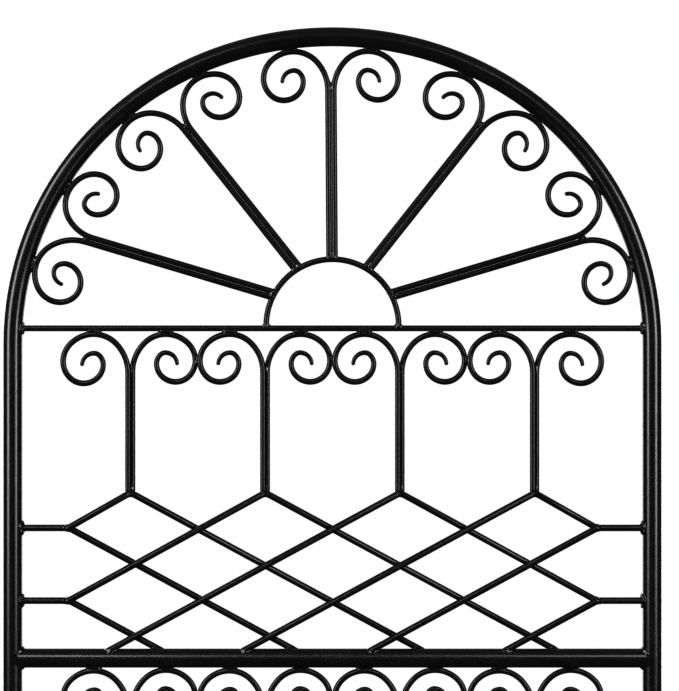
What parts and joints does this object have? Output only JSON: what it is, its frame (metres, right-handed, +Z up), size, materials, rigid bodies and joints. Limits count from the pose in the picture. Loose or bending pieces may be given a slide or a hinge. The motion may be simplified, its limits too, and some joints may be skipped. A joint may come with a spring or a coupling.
{
  "type": "garden trellis",
  "caption": "Arch-top garden trellis: bent steel tube frame on ground spikes, with a scrolled fan, scrolled posts and diamond lattice welded inside, satin black.",
  "frame": {"origin": "on the ground line, midway between the two legs, in the panel's middle plane", "axes": "+X across the panel to the right as seen from the front, +Y to the back of the panel, +Z up"},
  "size_m": [0.457, 0.013, 1.168],
  "materials": {
    "tube_coat": "satin black powder coat",
    "rod_coat": "satin black powder coat",
    "spike_coat": "satin black powder coat, scuffed at the points"
  },
  "bodies": {
    "root": {"frame_tube": "tube_coat", "middle_rail": "tube_coat", "bottom_rail": "tube_coat", "ground_spike_left": "spike_coat", "ground_spike_right": "spike_coat", "cross_rod": "rod_coat", "hub_ring": "rod_coat", "fan_scroll_1_left": "rod_coat", "fan_scroll_1_right": "rod_coat", "fan_scroll_2_left": "rod_coat", "fan_scroll_2_right": "rod_coat", "fan_scroll_3_left": "rod_coat", "fan_scroll_3_right": "rod_coat", "fan_scroll_4_left": "rod_coat", "fan_scroll_4_right": "rod_coat", "fan_scroll_5_left": "rod_coat", "fan_scroll_5_right": "rod_coat", "upper_scroll_1_left": "rod_coat", "upper_scroll_1_right": "rod_coat", "upper_scroll_2_left": "rod_coat", "upper_scroll_2_right": "rod_coat", "upper_scroll_3_left": "rod_coat", "upper_scroll_3_right": "rod_coat", "upper_scroll_4_left": "rod_coat", "upper_scroll_4_right": "rod_coat", "upper_lattice_peak_1": "rod_coat", "upper_lattice_peak_2": "rod_coat", "upper_lattice_peak_3": "rod_coat", "upper_lattice_peak_4": "rod_coat", "upper_lattice_side_left_1": "rod_coat", "upper_lattice_side_right_1": "rod_coat", "upper_lattice_side_left_2": "rod_coat", "upper_lattice_side_right_2": "rod_coat", "upper_stub_left_1": "rod_coat", "upper_stub_right_1": "rod_coat", "upper_stub_left_2": "rod_coat", "upper_stub_right_2": "rod_coat", "lower_scroll_1_left": "rod_coat", "lower_scroll_1_right": "rod_coat", "lower_scroll_2_left": "rod_coat", "lower_scroll_2_right": "rod_coat", "lower_scroll_3_left": "rod_coat", "lower_scroll_3_right": "rod_coat", "lower_scroll_4_left": "rod_coat", "lower_scroll_4_right": "rod_coat", "lower_lattice_peak_1": "rod_coat", "lower_lattice_peak_2": "rod_coat", "lower_lattice_peak_3": "rod_coat", "lower_lattice_peak_4": "rod_coat", "lower_lattice_side_left_1": "rod_coat", "lower_lattice_side_right_1": "rod_coat", "lower_lattice_side_left_2": "rod_coat", "lower_lattice_side_right_2": "rod_coat", "lower_stub_left_1": "rod_coat", "lower_stub_right_1": "rod_coat", "lower_stub_left_2": "rod_coat", "lower_stub_right_2": "rod_coat"}
  },
  "joints": []
}
